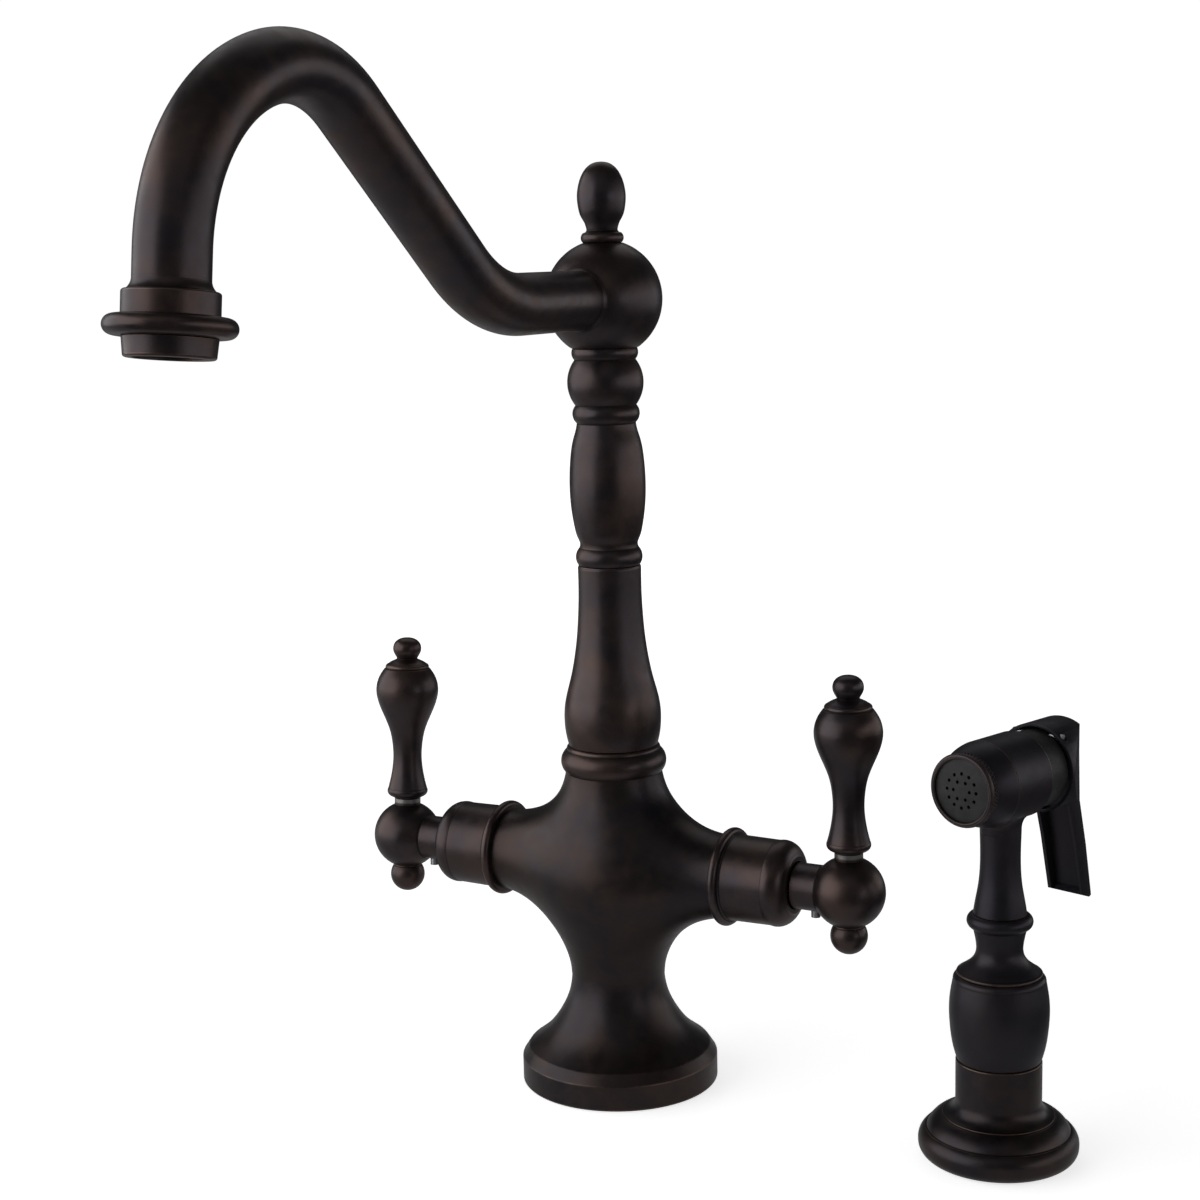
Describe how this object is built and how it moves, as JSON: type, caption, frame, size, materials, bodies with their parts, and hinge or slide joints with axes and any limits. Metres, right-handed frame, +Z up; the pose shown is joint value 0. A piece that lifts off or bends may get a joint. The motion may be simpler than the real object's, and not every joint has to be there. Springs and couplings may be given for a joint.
{
  "type": "two handle kitchen faucet",
  "caption": "Kitchen faucet with a swivelling high gooseneck spout on a turned column, baluster lever handles on side arms, and a separate pull-out side sprayer with a squeeze trigger.",
  "frame": {"origin": "centre of the column's foot, on the deck", "axes": "+Z up along the column, -Y the way the spout points, -X hot valve, +X cold valve and sprayer"},
  "size_m": [0.2582, 0.2641, 0.3377],
  "materials": {
    "bronze": "satin oil-rubbed dark bronze",
    "plain_brass": "machined",
    "steel": "satin",
    "seal_rubber": "matte",
    "ceramic": "polished",
    "sprayer_shell": "satin dark bronze coat",
    "black_plastic": "moulded"
  },
  "bodies": {
    "base": {"faucet_body": "bronze", "base_gasket": "seal_rubber", "inlet_manifold": "plain_brass", "swivel_nut": "bronze", "swivel_washer": "black_plastic", "hot_bonnet": "bronze", "cold_bonnet": "bronze", "hot_cartridge": "plain_brass", "cold_cartridge": "plain_brass", "hot_fixed_disc": "ceramic", "cold_fixed_disc": "ceramic", "hot_seat_seal": "seal_rubber", "cold_seat_seal": "seal_rubber", "diverter_cage": "plain_brass", "diverter_spring": "steel", "sprayer_flange": "bronze", "flange_gasket": "seal_rubber", "sprayer_holder": "bronze", "holder_bush": "black_plastic"},
    "spout": {"lower_column": "bronze", "upper_column": "bronze", "spout_hub": "bronze", "hub_finial": "bronze", "spout_tube": "bronze", "spout_collar": "bronze", "aerator_ring": "bronze", "aerator_shell": "bronze", "aerator_screen": "black_plastic", "aerator_washer": "seal_rubber", "swivel_o_rings": "seal_rubber"},
    "diverter": {"diverter_piston": "plain_brass"},
    "hot_handle": {"hot_hub": "bronze", "hot_lever": "bronze", "hot_lever_finial": "bronze", "hot_tail_knob": "bronze", "hot_stem": "plain_brass", "hot_moving_disc": "ceramic", "hot_set_screw": "steel"},
    "cold_handle": {"cold_hub": "bronze", "cold_lever": "bronze", "cold_lever_finial": "bronze", "cold_tail_knob": "bronze", "cold_stem": "plain_brass", "cold_moving_disc": "ceramic", "cold_set_screw": "steel"},
    "sprayer": {"sprayer_grip": "sprayer_shell", "hose_nipple": "plain_brass", "sprayer_neck": "sprayer_shell", "sprayer_wand": "sprayer_shell", "nozzle_washer": "seal_rubber", "nozzle_cone": "sprayer_shell", "nozzle_ring": "sprayer_shell", "spray_disc": "black_plastic", "valve_body": "black_plastic", "valve_spring": "steel"},
    "trigger": {"trigger_lever": "sprayer_shell", "trigger_pin": "steel"},
    "plunger": {"valve_plunger": "plain_brass"}
  },
  "joints": [
    {"name": "spout_swivel", "type": "hinge", "parent": "base", "child": "spout", "pos_m": [0, 0, 0.112], "axis": [0, 0, 1], "continuous": true},
    {"name": "hot_turn", "type": "hinge", "parent": "base", "child": "hot_handle", "pos_m": [-0.0847, 0, 0.0758], "axis": [1, 0, 0], "range_deg": [0, 90]},
    {"name": "cold_turn", "type": "hinge", "parent": "base", "child": "cold_handle", "pos_m": [0.0847, 0, 0.0758], "axis": [1, 0, 0], "range_deg": [0, 90]},
    {"name": "sprayer_lift", "type": "slide", "parent": "base", "child": "sprayer", "axis": [0, 0, 1], "range_m": [0, 0.08]},
    {"name": "trigger_squeeze", "type": "hinge", "parent": "sprayer", "child": "trigger", "pos_m": [0.14264, 0.01177, 0.13045], "axis": [-0.9573, 0.289, 0], "range_deg": [0, 9], "stiffness_Nm_per_rad": 0.5, "springref_deg": -5.73},
    {"name": "plunger_push", "type": "slide", "parent": "sprayer", "child": "plunger", "axis": [-0.289, -0.9573, 0], "range_m": [0, 0.0017]},
    {"name": "diverter_lift", "type": "slide", "parent": "base", "child": "diverter", "axis": [0, 0, 1], "range_m": [0, 0.003], "stiffness_N_per_m": 150, "springref_m": -0.002, "deforming": ["diverter_spring"]}
  ],
  "couplings": [
    {"joint": "plunger_push", "follows": "trigger_squeeze", "m_per_rad": 0.0098}
  ]
}
